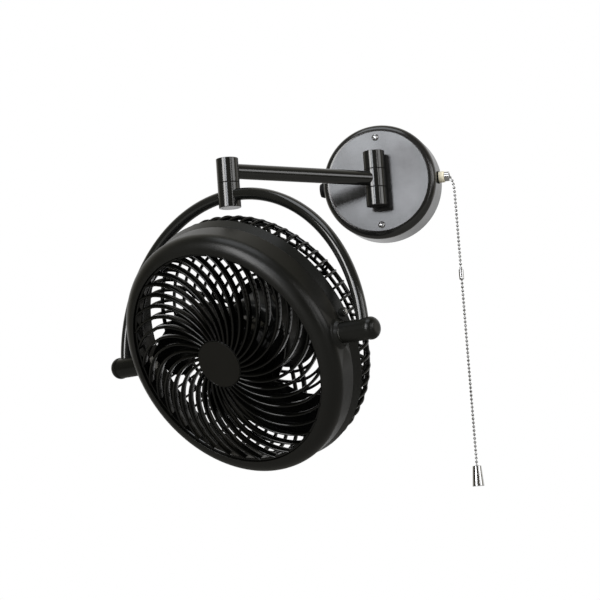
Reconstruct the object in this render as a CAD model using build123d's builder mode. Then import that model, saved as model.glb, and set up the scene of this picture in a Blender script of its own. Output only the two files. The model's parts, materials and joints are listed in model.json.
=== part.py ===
from build123d import *
from math import cos, radians, sin, sqrt, tan
import os

# Wall mounted fan with a swing arm, a bent tube fork and a pull chain, in millimetres.
# The wall is the XZ plane at y = 0, the room is on the -Y side, and +Z is up.
# The origin is the middle of the crossbar's back, where the fan meets the wall.

os.makedirs("parts", exist_ok=True)

# ---------------------------------------------------------------- driving dimensions
# How the fan stands
arm_angle = 47.0            # the arm off the wall plane, towards the room
fork_angle = 24.9           # the pivot line off the wall plane, right end towards the room
tilt_angle = 26.5           # the head's axis below level

# Fits
weld_gap = 0.02             # a fixed pin or plug in its hole, per side
run_gap = 0.05              # a turning pin in its hole, per side
face_gap = 0.3              # between turning faces
hole_slack = 0.3            # a clearance hole's extra radius

# Crossbar and canopy
bar_past_screw = 10.0
bar_width = 22.0
bar_t = 2.0
bar_corner_r = 5.0
wall_slot_spacing = 70.0
wall_slot_length = 12.0
wall_slot_r = 2.3
canopy_r = 63.5
canopy_depth = 40.0
canopy_edge_r = 8.0
canopy_wall = 1.2
canopy_screw_inset = 14.5   # in from the canopy's edge
canopy_screw_offset = canopy_r - canopy_screw_inset
canopy_screw_r = 2.0
canopy_screw_head_r = 3.8
canopy_screw_head_t = 2.6
canopy_screw_round = 1.4
cross_length = 4.4
cross_width = 0.9
cross_depth = 1.4
cross_turn = 20.0

# Cord bushing and pull switch, on the canopy's left and right sides
side_y = -20.0              # their distance from the wall
bushing_r = 8.5
bushing_neck_r = 6.4
bushing_waist_r = 7.2
bushing_bore_r = 3.2
bushing_out = 6.4
bushing_flange_t = 2.4
bushing_waist_t = 1.0
bushing_inside = 4.0
switch_length = 25.0
switch_room = 1.3           # between the switch and the canopy's wall
switch_width = 21.0
switch_height = 18.0
nipple_r = 5.0
gasket_r = 6.9
gasket_out = 0.9
collar_r = 6.2
collar_length = 6.0
bell_r = 5.3
bell_length = 5.4
bell_throat = 1.0
bell_bore_r = 2.3
bell_mouth_r = 3.7
bell_flare = 1.2

# Hinge knuckles, pins and caps
knuckle_r = 11.75
knuckle_out = 3.5           # room between the wall hinge and the canopy
knuckle_edge = 0.5
wall_segment = 20.0
arm_segment = 26.0
pin_r = 4.0
pin_head_r = 6.5
pin_head_t = 2.0
cap_r = 8.5
cap_t = 2.0
cap_edge = 0.3
stub_r = 7.0
tail_r = 5.0
tail_length = 10.0
nut_across = 14.0
nut_t = 4.0

# Arm
arm_length = 188.0
arm_r = 8.0
arm_wall = 1.5

# Fork and its sleeves
fork_tube_r = 6.35
fork_tube_wall = 1.5
barrel_r = 11.0
barrel_gap = 0.15           # between a washer and the sleeve's inner end
barrel_to_fork = 23.35      # from the sleeve's inner end to the fork's middle line
barrel_past_fork = 8.0
barrel_edge = 0.5
sleeve_r = 5.5
sleeve_past_fork = 1.5
pocket_r = 7.0
bolt_head_r = 6.3
bolt_head_t = 4.0
dome_r = 11.5
dome_length = 9.0
dome_round = 7.5
spigot_length = 1.5
washer_r = 9.5
washer_t = 1.0

# Front ring: a bullnose with a straight skirt, and a boss at each pivot
ring_r = 132.8
ring_nose_r = 15.0
ring_front = 27.0
ring_seam = -7.1
ring_wall = 2.5
lip_width = 16.2
ledge_width = 3.8           # in from the lip
ledge_front = 15.6
ledge_t = 2.4
boss_out = 4.2              # past the ring's side
boss_end_r = 11.5
boss_in = 6.8
boss_taper = 31.0
boss_fillet = 4.0

# Rear band and its screw lugs
band_back = -18.4
band_step = 2.8             # its back edge past the ring's side
band_wall = 2.4
band_gap = 0.3
lug_first = 7.0
lug_count = 3
lug_w = -14.5
lug_r = 4.5
lug_out = 4.8               # past the ring's side
lug_screw_r = 1.5
lug_screw_head_r = 2.7
lug_screw_head_t = 1.6

# Front grille
rib_count = 36
rib_first = 3.5
rib_t = 2.8
rib_depth = 7.5
rib_start_r = 25.6
rib_end_in = 2.0            # in from the ring's lip
rib_sweep = 53.0
rib_lean = 18.0
dome_out = 11.2             # its apex past the ring's front
dome_drop = 13.043644        # from the apex to the grille's rim
hub_r = 26.4
hub_front = 37.6
hub_skirt = 8.0
hub_wall = 2.0
disc_r = 25.2
disc_t = 1.2
disc_proud = 0.3
rim_gap = 0.3               # between the grille's rim and the lip
rim_wall = 2.9
rim_sink = 0.3

# Rear cage
cage_side_out = 1.7         # past the ring's side
cage_corner_r = 28.0
cage_corner_w = -31.0
cage_back_slope = 13.2
cage_depth = 5.0
cage_step_w = -21.5
cage_start_r = 50.0
bar_count = 60
bar_first = 5.5
bar_width_across = 2.4
back_ring_first = 56.75
back_ring_pitch = 10.5
back_ring_count = 7
back_ring_t = 3.0
back_ring_depth = 3.0
ring_sink = 1.3
bar_start_ring = 5          # the ring, counted from the inside, that the side bars start at
side_ring_w = -43.0
side_ring_t = 4.0
spoke_count = 3
spoke_first = 27.5
spoke_t = 3.0
brace_t = 4.5
brace_start = (51.0, 13.5)  # the curved brace beside a spoke, as radius and angle from it
brace_middle = (78.0, 8.7)
brace_end = (109.0, -2.0)
plate_r = 52.0
plate_t = 3.0
nest_gap = 0.2              # between the nest and the ring's wall
nest_wall = 3.0
nest_front = 6.0
nest_back = -19.4

# Motor
motor_r = 41.0
motor_wall = 1.5
motor_front = -28.0
motor_joint = -50.0
motor_edge_r = 6.0
bearing_r = 11.0
bearing_width = 6.0
bearing_seat_wall = 2.0
shaft_r = 4.0
stator_bore_r = 20.0
stator_front = -40.0
stator_back = -60.0
air_gap = 0.5
winding_r = 36.0
winding_inner_r = 25.0
winding_t = 4.0
motor_screw_circle = 30.0
motor_screw_count = 4
motor_screw_first = 45.0
motor_screw_r = 2.0
motor_screw_head_r = 3.6
motor_screw_head_t = 2.4
motor_screw_reach = 3.0

# Blades: each section is a radius, the angles of its two ends and their heights
blade_count = 3
blade_t = 2.0
blade_camber = 0.07         # of a section's length
blade_margin = 9.0          # past the outline, at each end of a section
blade_sections = (
    (29.0, -78.0, 25.0, 0.0, -18.0),
    (50.0, -48.0, 42.0, 10.0, -24.0),
    (70.0, 4.0, 56.0, 11.0, -24.0),
    (90.0, 37.0, 69.0, 8.0, -22.0),
)
blade_tip_in = 0.6          # in from the ring's lip
blade_past_tip = 6.0        # the last section past the tip
blade_tip_section = (58.5, 80.0, 3.0, -18.0)
blade_tip_round = 12.0
blade_hub_r = 31.0
blade_hub_wall = 2.5
blade_hub_back = -22.0
blade_hub_front = 4.0
blade_boss_r = 9.0
blade_boss_back = -16.0
spinner_r = 9.0
spinner_length = 9.0
spinner_cap = 2.0
spinner_round = 3.0

# Pull chain
chain_r = 1.6
chain_bend_share = 0.45     # of the shorter run beside each bend
chain_drop_x = 80.3
chain_knees = ((76.4, 0.0), (78.9, -5.6), (80.2, -13.0))
chain_lead_end = -22.0
link_gap = 0.1
connector_top = -104.2
connector_bottom = -115.7
connector_r = 2.7
connector_edge = 0.8
fob_top = -319.5
fob_bottom = -341.5
fob_top_r = 4.8
fob_bottom_r = 6.5

# ---------------------------------------------------------------- sizes that follow
def kept(size):
    """A size to a ten-thousandth of a millimetre."""
    return round(size, 4)


boss_end = kept(ring_r + boss_out)
boss_root = kept(ring_r - boss_in)
band_back_r = kept(ring_r + band_step)
lug_top = kept(ring_r + lug_out)
cage_side_r = kept(ring_r + cage_side_out)
nest_r = kept(ring_r - ring_wall - nest_gap)
lip_r = kept(ring_r - lip_width)
ledge_r = kept(lip_r - ledge_width)
rim_r = kept(lip_r - rim_gap)
rib_end_r = kept(lip_r - rib_end_in)
dome_apex = kept(ring_front + dome_out)
dome_curve_r = kept((rim_r**2 + dome_drop**2) / (2 * dome_drop))
blade_tip_r = kept(lip_r - blade_tip_in)
blade_sections += ((kept(blade_tip_r + blade_past_tip), *blade_tip_section),)
barrel_start = kept(boss_end + washer_t + barrel_gap)
fork_r = kept(barrel_start + barrel_to_fork)
barrel_end = kept(fork_r + barrel_past_fork)
sleeve_end = kept(fork_r + sleeve_past_fork)
dome_end = kept(barrel_end + dome_length)

# ---------------------------------------------------------------- places
up = Vector(0, 0, 1)
room = Vector(0, -1, 0)
right = Vector(1, 0, 0)
wall_hinge = room * (canopy_depth + knuckle_out + knuckle_r)
arm_dir = Vector(-cos(radians(arm_angle)), -sin(radians(arm_angle)), 0)
fork_hinge = wall_hinge + arm_dir * arm_length
ear_z = wall_segment + face_gap
fork_knuckle_top = -arm_segment / 2 - face_gap
fork_knuckle_bottom = fork_knuckle_top - arm_segment
fork_tube_z = fork_knuckle_top - arm_segment / 2

pivot_dir = Vector(cos(radians(fork_angle)), -sin(radians(fork_angle)), 0)
fork_front = Vector(-sin(radians(fork_angle)), -cos(radians(fork_angle)), 0)
head_dir = fork_front * cos(radians(tilt_angle)) - up * sin(radians(tilt_angle))
head_centre = fork_hinge + up * (fork_tube_z - fork_r)
head_plane = Plane(origin=head_centre, x_dir=pivot_dir, z_dir=head_dir)
head_axis = Axis(head_centre, head_dir)
head_section = Plane(origin=head_centre, x_dir=pivot_dir, z_dir=pivot_dir.cross(head_dir))
sides = {"right": 1, "left": -1}
pieces = {}


def turn(points, origin, direction, radial, mode=Mode.ADD):
    """Turn a closed outline of (radius, distance along the axis) points around an axis."""
    section = Plane(origin=origin, x_dir=radial, z_dir=radial.cross(direction))
    with BuildSketch(section) as outline:
        with BuildLine():
            Polyline(*points, close=True)
        make_face()
    revolve(outline.sketch, axis=Axis(origin, direction), mode=mode)


def from_axis(point):
    """Distance of a point from the head's axis."""
    flat = head_plane.to_local_coords(point)
    return sqrt(flat.X**2 + flat.Y**2)


def sleeve_outline(inner, outer, start, end):
    """The outline of a plain sleeve, for turn."""
    return [(inner, start), (outer, start), (outer, end), (inner, end)]


# ---------------------------------------------------------------- crossbar and canopy
bar_end = canopy_screw_offset + bar_past_screw
with BuildPart() as crossbar:
    with BuildSketch(Plane.XZ):
        RectangleRounded(bar_width, 2 * bar_end, bar_corner_r)
        with Locations((0, wall_slot_spacing / 2), (0, -wall_slot_spacing / 2)):
            SlotOverall(wall_slot_length, 2 * wall_slot_r, rotation=90, mode=Mode.SUBTRACT)
        with Locations((0, canopy_screw_offset), (0, -canopy_screw_offset)):
            Circle(canopy_screw_r + weld_gap, mode=Mode.SUBTRACT)
    extrude(amount=bar_t)
pieces["crossbar"] = crossbar

side_point = room * -side_y
with BuildPart() as canopy:
    with BuildSketch(Plane.XZ):
        Circle(canopy_r)
    extrude(amount=canopy_depth)
    fillet(canopy.faces().sort_by(Axis.Y)[0].edges(), canopy_edge_r)
    offset(amount=-canopy_wall, openings=canopy.faces().sort_by(Axis.Y)[-1])
    with BuildSketch(Plane.XZ):
        with Locations((0, canopy_screw_offset), (0, -canopy_screw_offset)):
            Circle(canopy_screw_r + hole_slack)
        with Locations((0, ear_z), (0, -ear_z)):
            Circle(tail_r + hole_slack)
    extrude(amount=canopy_depth, mode=Mode.SUBTRACT)
    with BuildSketch(Plane(origin=side_point, x_dir=up, z_dir=right)):
        Circle(nipple_r + hole_slack)
    extrude(amount=canopy_r, mode=Mode.SUBTRACT)
    with BuildSketch(Plane(origin=side_point, x_dir=up, z_dir=-right)):
        Circle(bushing_neck_r + weld_gap)
    extrude(amount=canopy_r, mode=Mode.SUBTRACT)
pieces["canopy"] = canopy

with BuildPart() as canopy_screws:
    with BuildSketch(Plane.XZ.offset(weld_gap)):
        with Locations((0, canopy_screw_offset), (0, -canopy_screw_offset)):
            Circle(canopy_screw_r)
    extrude(amount=canopy_depth)
    with BuildSketch(Plane.XZ.offset(canopy_depth)):
        with Locations((0, canopy_screw_offset), (0, -canopy_screw_offset)):
            Circle(canopy_screw_head_r)
    extrude(amount=canopy_screw_head_t)
    fillet(canopy_screws.faces().sort_by(Axis.Y)[:2].edges(), canopy_screw_round)
    with BuildSketch(Plane.XZ.offset(canopy_depth + canopy_screw_head_t)):
        with Locations((0, canopy_screw_offset), (0, -canopy_screw_offset)):
            Rectangle(cross_length, cross_width, rotation=cross_turn)
            Rectangle(cross_width, cross_length, rotation=cross_turn)
    extrude(amount=-cross_depth, mode=Mode.SUBTRACT)
pieces["canopy_screws"] = canopy_screws

# ---------------------------------------------------------------- cord bushing
canopy_inside_r = canopy_r - canopy_wall
flange_out = canopy_r + weld_gap + bushing_flange_t
waist_out = flange_out + bushing_waist_t
with BuildPart() as cord_grommet:
    turn(
        [
            (bushing_bore_r, canopy_inside_r - bushing_inside),
            (bushing_neck_r, canopy_inside_r - bushing_inside),
            (bushing_neck_r, canopy_r + weld_gap),
            (bushing_r, canopy_r + weld_gap),
            (bushing_r, flange_out),
            (bushing_waist_r, flange_out),
            (bushing_waist_r, waist_out),
            (bushing_r, waist_out),
            (bushing_waist_r, canopy_r + bushing_out),
            (bushing_bore_r, canopy_r + bushing_out),
        ],
        side_point,
        -right,
        up,
    )
pieces["cord_grommet"] = cord_grommet

# ---------------------------------------------------------------- pull switch
switch_end = kept(canopy_inside_r - switch_room)
switch_start = kept(switch_end - switch_length)
collar_start = canopy_r + gasket_out + weld_gap
collar_end = collar_start + collar_length
bell_end = collar_end + bell_length
with BuildPart() as switch_body:
    with BuildSketch(Plane(origin=side_point + right * switch_start, x_dir=up, z_dir=right)):
        Rectangle(switch_height, switch_width)
    extrude(amount=switch_end - switch_start)
    turn(sleeve_outline(0, nipple_r, switch_end, collar_end), side_point, right, up)
pieces["switch_body"] = switch_body

with BuildPart() as switch_gasket:
    turn(
        sleeve_outline(nipple_r + weld_gap, gasket_r, canopy_inside_r, canopy_r + gasket_out),
        side_point,
        right,
        up,
    )
    with BuildSketch(Plane.XZ):
        Circle(canopy_r + weld_gap)
    extrude(amount=canopy_depth, mode=Mode.SUBTRACT)
pieces["switch_gasket"] = switch_gasket

with BuildPart() as switch_collar:
    turn(
        sleeve_outline(nipple_r + weld_gap, collar_r, collar_start, collar_end),
        side_point,
        right,
        up,
    )
    fillet(switch_collar.edges().filter_by(GeomType.CIRCLE).group_by(SortBy.RADIUS)[-1], cap_edge)
pieces["switch_collar"] = switch_collar

with BuildPart() as switch_bell:
    turn(
        [
            (0, collar_end),
            (bell_r, collar_end),
            (bell_r, bell_end),
            (bell_mouth_r, bell_end),
            (bell_bore_r, bell_end - bell_flare),
            (bell_bore_r, collar_end + bell_throat),
            (0, collar_end + bell_throat),
        ],
        side_point,
        right,
        up,
    )
    chamfer(switch_bell.edges().filter_by(GeomType.CIRCLE).group_by(SortBy.RADIUS)[-1], cap_edge)
pieces["switch_bell"] = switch_bell

# ---------------------------------------------------------------- wall hinge
for name, side in (("upper_ear", 1), ("lower_ear", -1)):
    ear_base = wall_hinge + up * (side * (ear_z - wall_segment / 2))
    with BuildPart() as ear:
        turn(sleeve_outline(0, knuckle_r, 0, wall_segment), ear_base, up * side, right)
        fillet(ear.edges().filter_by(GeomType.CIRCLE), knuckle_edge)
        with BuildSketch(Plane.XZ.offset(canopy_depth)):
            with Locations((0, side * ear_z)):
                Circle(stub_r)
        extrude(amount=knuckle_out + knuckle_r)
        with BuildSketch(Plane.XZ.offset(canopy_depth - tail_length)):
            with Locations((0, side * ear_z)):
                Circle(tail_r)
        extrude(amount=tail_length)
        turn(
            [
                (0, 0),
                (pin_r + weld_gap, 0),
                (pin_r + weld_gap, wall_segment - cap_t),
                (cap_r + weld_gap, wall_segment - cap_t),
                (cap_r + weld_gap, wall_segment),
                (0, wall_segment),
            ],
            ear_base,
            up * side,
            right,
            mode=Mode.SUBTRACT,
        )
    pieces[name] = ear

with BuildPart() as ear_nuts:
    with BuildSketch(Plane.XZ.offset(canopy_depth - canopy_wall)):
        with Locations((0, ear_z), (0, -ear_z)):
            RegularPolygon(nut_across / 2, 6, major_radius=False)
            Circle(tail_r + weld_gap, mode=Mode.SUBTRACT)
    extrude(amount=-nut_t)
pieces["ear_nuts"] = ear_nuts

ear_end = ear_z + wall_segment / 2
with BuildPart() as wall_pin:
    turn(
        sleeve_outline(0, pin_r, cap_t + face_gap - ear_end, ear_end - cap_t - face_gap),
        wall_hinge,
        up,
        right,
    )
pieces["wall_pin"] = wall_pin

with BuildPart() as wall_caps:
    for side in (1, -1):
        turn(sleeve_outline(0, cap_r, ear_end - cap_t, ear_end), wall_hinge, up * side, right)
    chamfer(wall_caps.edges().filter_by(GeomType.CIRCLE).group_by(Axis.Z)[0], cap_edge)
    chamfer(wall_caps.edges().filter_by(GeomType.CIRCLE).group_by(Axis.Z)[-1], cap_edge)
pieces["wall_caps"] = wall_caps

# ---------------------------------------------------------------- arm
with BuildPart() as arm_inner_knuckle:
    turn(
        sleeve_outline(0, knuckle_r, -wall_segment / 2, wall_segment / 2), wall_hinge, up, right
    )
    fillet(arm_inner_knuckle.edges().filter_by(GeomType.CIRCLE), knuckle_edge)
    turn(
        sleeve_outline(0, pin_r + run_gap, -wall_segment / 2, wall_segment / 2),
        wall_hinge,
        up,
        right,
        mode=Mode.SUBTRACT,
    )
pieces["arm_inner_knuckle"] = arm_inner_knuckle

with BuildPart() as arm_tube:
    with BuildSketch(Plane(origin=wall_hinge, x_dir=up, z_dir=arm_dir)):
        Circle(arm_r)
        Circle(arm_r - arm_wall, mode=Mode.SUBTRACT)
    extrude(amount=arm_length)
    for hinge in (wall_hinge, fork_hinge):
        turn(
            sleeve_outline(0, knuckle_r + weld_gap, -knuckle_r, knuckle_r),
            hinge,
            up,
            right,
            mode=Mode.SUBTRACT,
        )
pieces["arm_tube"] = arm_tube

arm_top = arm_segment / 2
with BuildPart() as arm_outer_knuckle:
    turn(sleeve_outline(0, knuckle_r, -arm_top, arm_top), fork_hinge, up, right)
    fillet(arm_outer_knuckle.edges().filter_by(GeomType.CIRCLE), knuckle_edge)
    turn(
        [
            (0, -arm_top),
            (pin_r + weld_gap, -arm_top),
            (pin_r + weld_gap, arm_top - cap_t),
            (cap_r + weld_gap, arm_top - cap_t),
            (cap_r + weld_gap, arm_top),
            (0, arm_top),
        ],
        fork_hinge,
        up,
        right,
        mode=Mode.SUBTRACT,
    )
pieces["arm_outer_knuckle"] = arm_outer_knuckle

with BuildPart() as arm_cap:
    turn(sleeve_outline(0, cap_r, arm_top - cap_t, arm_top), fork_hinge, up, right)
    chamfer(arm_cap.edges().group_by(Axis.Z)[-1], cap_edge)
pieces["arm_cap"] = arm_cap

pin_head_bottom = fork_knuckle_bottom + cap_t + face_gap
pin_head_top = pin_head_bottom + pin_head_t
pin_room_top = pin_head_top + face_gap
with BuildPart() as arm_pin:
    turn(
        [
            (0, pin_head_bottom),
            (pin_head_r, pin_head_bottom),
            (pin_head_r, pin_head_top),
            (pin_r, pin_head_top),
            (pin_r, arm_top - cap_t - face_gap),
            (0, arm_top - cap_t - face_gap),
        ],
        fork_hinge,
        up,
        right,
    )
pieces["arm_pin"] = arm_pin

# ---------------------------------------------------------------- fork
with BuildPart() as yoke_knuckle:
    turn(
        sleeve_outline(0, knuckle_r, fork_knuckle_bottom, fork_knuckle_top),
        fork_hinge,
        up,
        right,
    )
    fillet(yoke_knuckle.edges().filter_by(GeomType.CIRCLE), knuckle_edge)
    turn(
        [
            (0, fork_knuckle_bottom),
            (cap_r + weld_gap, fork_knuckle_bottom),
            (cap_r + weld_gap, fork_knuckle_bottom + cap_t),
            (pin_head_r + hole_slack, fork_knuckle_bottom + cap_t),
            (pin_head_r + hole_slack, pin_room_top),
            (pin_r + run_gap, pin_room_top),
            (pin_r + run_gap, fork_knuckle_top),
            (0, fork_knuckle_top),
        ],
        fork_hinge,
        up,
        right,
        mode=Mode.SUBTRACT,
    )
pieces["yoke_knuckle"] = yoke_knuckle

with BuildPart() as yoke_cap:
    turn(
        sleeve_outline(0, cap_r, fork_knuckle_bottom, fork_knuckle_bottom + cap_t),
        fork_hinge,
        up,
        right,
    )
    chamfer(yoke_cap.edges().group_by(Axis.Z)[0], cap_edge)
pieces["yoke_cap"] = yoke_cap

for side_name, side in sides.items():
    outwards = pivot_dir * side
    with BuildPart() as fork_tube:
        with BuildSketch(Plane(origin=head_centre + up * fork_r, x_dir=up, z_dir=outwards)):
            Circle(fork_tube_r)
            Circle(fork_tube_r - fork_tube_wall, mode=Mode.SUBTRACT)
        revolve(axis=Axis(head_centre, fork_front * -side), revolution_arc=90)
        turn(
            sleeve_outline(0, knuckle_r + weld_gap, fork_knuckle_bottom, fork_knuckle_top),
            fork_hinge,
            up,
            right,
            mode=Mode.SUBTRACT,
        )
        turn(
            sleeve_outline(0, barrel_r + weld_gap, barrel_start, barrel_end),
            head_centre,
            outwards,
            up,
            mode=Mode.SUBTRACT,
        )
    pieces[f"yoke_{side_name}_tube"] = fork_tube

    with BuildPart() as barrel:
        turn(sleeve_outline(0, barrel_r, barrel_start, barrel_end), head_centre, outwards, up)
        fillet(barrel.edges().filter_by(GeomType.CIRCLE), barrel_edge)
        turn(
            [
                (0, barrel_start),
                (sleeve_r + weld_gap, barrel_start),
                (sleeve_r + weld_gap, sleeve_end),
                (pocket_r, sleeve_end),
                (pocket_r, barrel_end),
                (0, barrel_end),
            ],
            head_centre,
            outwards,
            up,
            mode=Mode.SUBTRACT,
        )
    pieces[f"barrel_{side_name}"] = barrel

    with BuildPart() as dome:
        turn(sleeve_outline(0, dome_r, barrel_end, dome_end), head_centre, outwards, up)
        fillet(dome.faces().sort_by(Axis(head_centre, outwards))[-1].edges(), dome_round)
        turn(
            sleeve_outline(0, pocket_r - weld_gap, barrel_end - spigot_length, barrel_end),
            head_centre,
            outwards,
            up,
        )
    pieces[f"dome_{side_name}"] = dome

with BuildPart() as bushings:
    for side in sides.values():
        turn(
            sleeve_outline(pin_r + run_gap, sleeve_r, barrel_start, sleeve_end),
            head_centre,
            pivot_dir * side,
            up,
        )
pieces["bushings"] = bushings

# ---------------------------------------------------------------- pivot bolts
bolt_head_start = sleeve_end + face_gap
nest_inner_r = nest_r - nest_wall
bolt_nut_face = sqrt(nest_inner_r**2 - (nut_across / 2) ** 2) - weld_gap
bolt_tip = bolt_nut_face - nut_t
with BuildPart() as pivot_bolts:
    for side in sides.values():
        turn(
            [
                (0, bolt_tip),
                (pin_r, bolt_tip),
                (pin_r, bolt_head_start),
                (bolt_head_r, bolt_head_start),
                (bolt_head_r, bolt_head_start + bolt_head_t),
                (0, bolt_head_start + bolt_head_t),
            ],
            head_centre,
            pivot_dir * side,
            up,
        )
pieces["pivot_bolts"] = pivot_bolts

with BuildPart() as pivot_nuts:
    for side in sides.values():
        nut_plane = Plane(
            origin=head_centre + pivot_dir * (side * bolt_nut_face),
            x_dir=head_dir,
            z_dir=pivot_dir * -side,
        )
        with BuildSketch(nut_plane):
            RegularPolygon(nut_across / 2, 6, major_radius=False)
            Circle(pin_r + weld_gap, mode=Mode.SUBTRACT)
        extrude(amount=nut_t)
pieces["pivot_nuts"] = pivot_nuts

with BuildPart() as friction_washers:
    for side in sides.values():
        turn(
            sleeve_outline(pin_r + weld_gap, washer_r, boss_end, boss_end + washer_t),
            head_centre,
            pivot_dir * side,
            up,
        )
pieces["friction_washers"] = friction_washers

# ---------------------------------------------------------------- front ring
ring_inner_r = ring_r - ring_wall
middle_r = ring_r - ring_wall / 2
nose_centre = (ring_r - ring_nose_r, ring_front - ring_nose_r)
boss_root_r = boss_end_r + (boss_end - boss_root) * tan(radians(boss_taper))
with BuildPart() as front_ring:
    for side in sides.values():
        turn(
            [(0, boss_root), (boss_root_r, boss_root), (boss_end_r, boss_end), (0, boss_end)],
            head_centre,
            pivot_dir * side,
            head_dir,
        )
    turn(
        sleeve_outline(0, ring_inner_r, -boss_root_r, boss_root_r),
        head_centre,
        head_dir,
        pivot_dir,
        mode=Mode.SUBTRACT,
    )
    with BuildSketch(head_section):
        with BuildLine():
            CenterArc(nose_centre, ring_nose_r, 0, 90)
            CenterArc(nose_centre, ring_nose_r - ring_wall, 0, 90)
            Polyline(
                (nose_centre[0], ring_front),
                (lip_r, ring_front),
                (lip_r, ring_front - ring_wall),
                (nose_centre[0], ring_front - ring_wall),
            )
            Polyline(
                (ring_inner_r, nose_centre[1]),
                (ring_inner_r, ring_seam),
                (ring_r, ring_seam),
                (ring_r, nose_centre[1]),
            )
        make_face()
    revolve(axis=head_axis)
    boss_seams = front_ring.edges().filter_by(GeomType.BSPLINE)
    outer_seams = boss_seams.filter_by(lambda seam: from_axis(seam.center()) > middle_r)
    fillet(outer_seams, boss_fillet)
    turn(
        sleeve_outline(ledge_r, middle_r, ledge_front - ledge_t, ledge_front),
        head_centre,
        head_dir,
        pivot_dir,
    )
    for side in sides.values():
        turn(
            sleeve_outline(0, pin_r + weld_gap, boss_root, boss_end),
            head_centre,
            pivot_dir * side,
            up,
            mode=Mode.SUBTRACT,
        )
pieces["front_ring"] = front_ring

# ---------------------------------------------------------------- rear band
band_front = ring_seam - band_gap
lug_plane = head_plane.offset(lug_w)
lug_dirs = []
for lug in range(lug_count):
    lug_angle = radians(lug_first + 360 / lug_count * lug)
    lug_dirs.append(head_plane.x_dir * cos(lug_angle) + head_plane.y_dir * sin(lug_angle))
with BuildPart() as rear_band:
    for lug_dir in lug_dirs:
        turn(sleeve_outline(0, lug_r, boss_root, lug_top), lug_plane.origin, lug_dir, head_dir)
    turn(
        sleeve_outline(0, nest_r + weld_gap, lug_w - 2 * lug_r, lug_w + 2 * lug_r),
        head_centre,
        head_dir,
        pivot_dir,
        mode=Mode.SUBTRACT,
    )
    turn(
        [
            (ring_r, band_front),
            (band_back_r, band_back),
            (band_back_r - band_wall, band_back),
            (ring_r - band_wall, band_front),
        ],
        head_centre,
        head_dir,
        pivot_dir,
    )
    for side in sides.values():
        turn(
            [
                (0, boss_root),
                (boss_root_r + band_gap, boss_root),
                (boss_end_r + band_gap, boss_end),
                (0, boss_end),
            ],
            head_centre,
            pivot_dir * side,
            head_dir,
            mode=Mode.SUBTRACT,
        )
    for lug_dir in lug_dirs:
        turn(
            sleeve_outline(0, lug_screw_r + weld_gap, boss_root, lug_top),
            lug_plane.origin,
            lug_dir,
            head_dir,
            mode=Mode.SUBTRACT,
        )
pieces["rear_band"] = rear_band

with BuildPart() as cage_screws:
    for lug_dir in lug_dirs:
        turn(
            [
                (0, nest_inner_r),
                (lug_screw_r, nest_inner_r),
                (lug_screw_r, lug_top),
                (lug_screw_head_r, lug_top),
                (lug_screw_head_r, lug_top + lug_screw_head_t / 2),
                (lug_screw_r, lug_top + lug_screw_head_t),
                (0, lug_top + lug_screw_head_t),
            ],
            lug_plane.origin,
            lug_dir,
            head_dir,
        )
pieces["cage_screws"] = cage_screws


# ---------------------------------------------------------------- front grille
def dome_w(radius):
    """Height of the grille's front surface at a radius from the head's axis."""
    return dome_apex - dome_curve_r + sqrt(dome_curve_r**2 - radius**2)


def polar(radius, angle):
    """The flat point at a radius and an angle in degrees."""
    return (radius * cos(radians(angle)), radius * sin(radians(angle)))


with BuildSketch() as grille_rib:
    with BuildLine():
        TangentArc(
            (rib_start_r, 0), polar(rib_end_r, rib_sweep), tangent=polar(1, rib_lean)
        )
    trace(line_width=rib_t)

shell_r = rim_r + rib_t
shell_back = dome_w(shell_r) - rib_depth
with BuildPart() as front_grille:
    with BuildSketch(head_plane.offset(shell_back)):
        with PolarLocations(0, rib_count, start_angle=rib_first):
            add(grille_rib.sketch)
    extrude(amount=dome_apex - shell_back)
    with BuildSketch(head_section):
        with BuildLine():
            ThreePointArc(
                (0, dome_apex), (shell_r / 2, dome_w(shell_r / 2)), (shell_r, dome_w(shell_r))
            )
            ThreePointArc(
                (0, dome_apex - rib_depth),
                (shell_r / 2, dome_w(shell_r / 2) - rib_depth),
                (shell_r, shell_back),
            )
            Line((0, dome_apex), (0, dome_apex - rib_depth))
            Line((shell_r, dome_w(shell_r)), (shell_r, shell_back))
        make_face()
    revolve(axis=head_axis, mode=Mode.INTERSECT)
    turn(
        sleeve_outline(rim_r - rim_wall, rim_r, ledge_front, dome_w(rim_r) - rim_sink),
        head_centre,
        head_dir,
        pivot_dir,
    )
    disc_seat = hub_front + disc_proud - disc_t
    turn(
        [
            (0, disc_seat),
            (disc_r + weld_gap, disc_seat),
            (disc_r + weld_gap, hub_front),
            (hub_r, hub_front),
            (hub_r, hub_front - hub_skirt),
            (hub_r - hub_wall, hub_front - hub_skirt),
            (hub_r - hub_wall, disc_seat - hub_wall),
            (0, disc_seat - hub_wall),
        ],
        head_centre,
        head_dir,
        pivot_dir,
    )
pieces["front_grille"] = front_grille

with BuildPart() as hub_disc:
    turn(sleeve_outline(0, disc_r, disc_seat, disc_seat + disc_t), head_centre, head_dir, pivot_dir)
    fillet(hub_disc.faces().sort_by(head_axis)[-1].edges(), cap_edge)
pieces["hub_disc"] = hub_disc

# ---------------------------------------------------------------- rear cage
corner_centre_r = cage_side_r - cage_corner_r
slope = radians(cage_back_slope)
knee_r = corner_centre_r + cage_corner_r * sin(slope)
knee_w = cage_corner_w - cage_corner_r * cos(slope)
inner_corner_r = cage_corner_r - cage_depth
inner_knee_r = corner_centre_r + inner_corner_r * sin(slope)
inner_knee_w = cage_corner_w - inner_corner_r * cos(slope)


def cage_w(radius):
    """Height of the rear cage's outer surface at a radius, behind its side."""
    if radius > knee_r:
        return cage_corner_w - sqrt(cage_corner_r**2 - (radius - corner_centre_r) ** 2)
    return knee_w - (knee_r - radius) * tan(slope)


def cage_inner_w(radius):
    """Height of the back's inner surface at a radius inside the knee."""
    return inner_knee_w - (inner_knee_r - radius) * tan(slope)


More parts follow.
